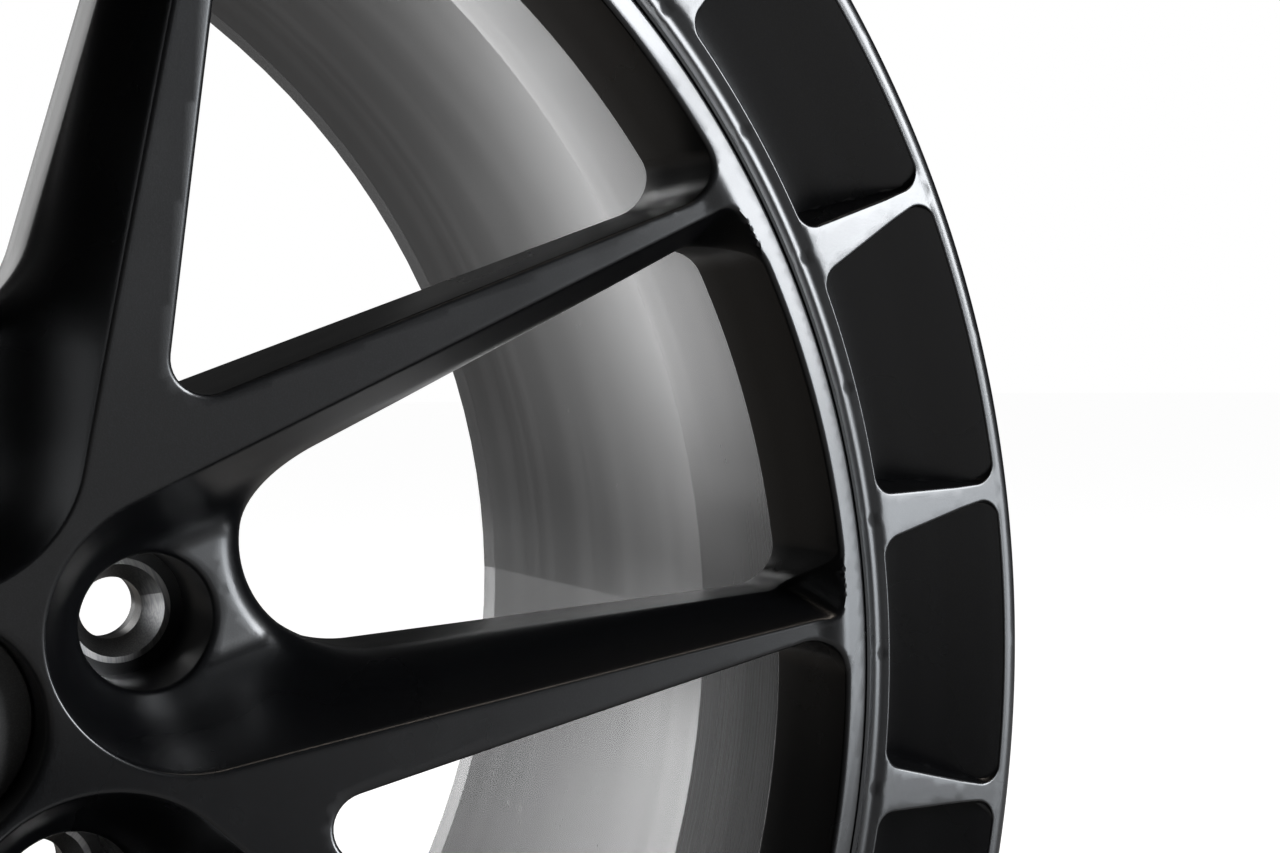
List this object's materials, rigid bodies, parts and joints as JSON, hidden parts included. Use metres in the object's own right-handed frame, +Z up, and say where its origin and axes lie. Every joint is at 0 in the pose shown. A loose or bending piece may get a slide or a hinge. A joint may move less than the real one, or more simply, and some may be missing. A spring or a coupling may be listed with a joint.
{
  "type": "forged racing wheel rim",
  "caption": "Concave modular forged racing wheel rim with paired spokes, a pocketed outer lip, a turned inner barrel, centre cap and clamp-in valve.",
  "frame": {"origin": "the wheel centre: on the spin axis, halfway between the two flange faces", "axes": "+Y is the spin axis pointing inboard, the outboard face looks to -Y, +Z is up, one spoke unit points straight up"},
  "size_m": [0.5478, 0.262, 0.5478],
  "materials": {
    "satin_black": "satin black powder coat",
    "turned_barrel": "dark grey satin over fine turning marks",
    "bolt_steel": "bright steel",
    "seat_steel": "blackened steel",
    "seal_rubber": "matt rubber",
    "machined_alloy": "fine machined",
    "cap_charcoal": "charcoal satin anodised",
    "valve_brass": "plain brass"
  },
  "bodies": {
    "wheel": {"centre_disc": "satin_black", "outer_lip": "satin_black", "inner_barrel": "turned_barrel", "assembly_bolts": "bolt_steel", "assembly_washers": "bolt_steel", "thread_inserts": "bolt_steel", "barrel_seal_ring": "seal_rubber", "lug_seat_inserts": "seat_steel", "hub_centring_ring": "machined_alloy", "valve_stem": "machined_alloy", "valve_grommet": "seal_rubber", "valve_washer": "machined_alloy", "valve_nut": "machined_alloy", "valve_core_body": "valve_brass", "valve_core_spring": "bolt_steel"},
    "cap": {"centre_cap": "cap_charcoal", "cap_spring_ring": "bolt_steel", "cap_seal_ring": "seal_rubber"},
    "valve_cap_lift": {"valve_cap_seal": "seal_rubber"},
    "valve_cap_turn": {"valve_cap": "cap_charcoal"},
    "valve_pin": {"valve_core_pin": "valve_brass", "valve_core_seal": "seal_rubber"}
  },
  "joints": [
    {"name": "centre_cap_pull", "type": "slide", "parent": "wheel", "child": "cap", "axis": [0, -1, 0], "range_m": [0, 0.03]},
    {"name": "valve_cap_rise", "type": "slide", "parent": "wheel", "child": "valve_cap_lift", "axis": [0, -0.4226, 0.9063], "range_m": [0, 0.00476]},
    {"name": "valve_cap_unscrew", "type": "hinge", "parent": "valve_cap_lift", "child": "valve_cap_turn", "pos_m": [0, -0.08306, -0.20026], "axis": [0, -0.4226, 0.9063], "range_deg": [0, 2160]},
    {"name": "valve_pin_press", "type": "slide", "parent": "wheel", "child": "valve_pin", "axis": [0, 0.4226, -0.9063], "range_m": [0, 0.001], "stiffness_N_per_m": 400}
  ],
  "couplings": [
    {"joint": "valve_cap_unscrew", "follows": "valve_cap_rise", "rad_per_m": 7913.3}
  ]
}
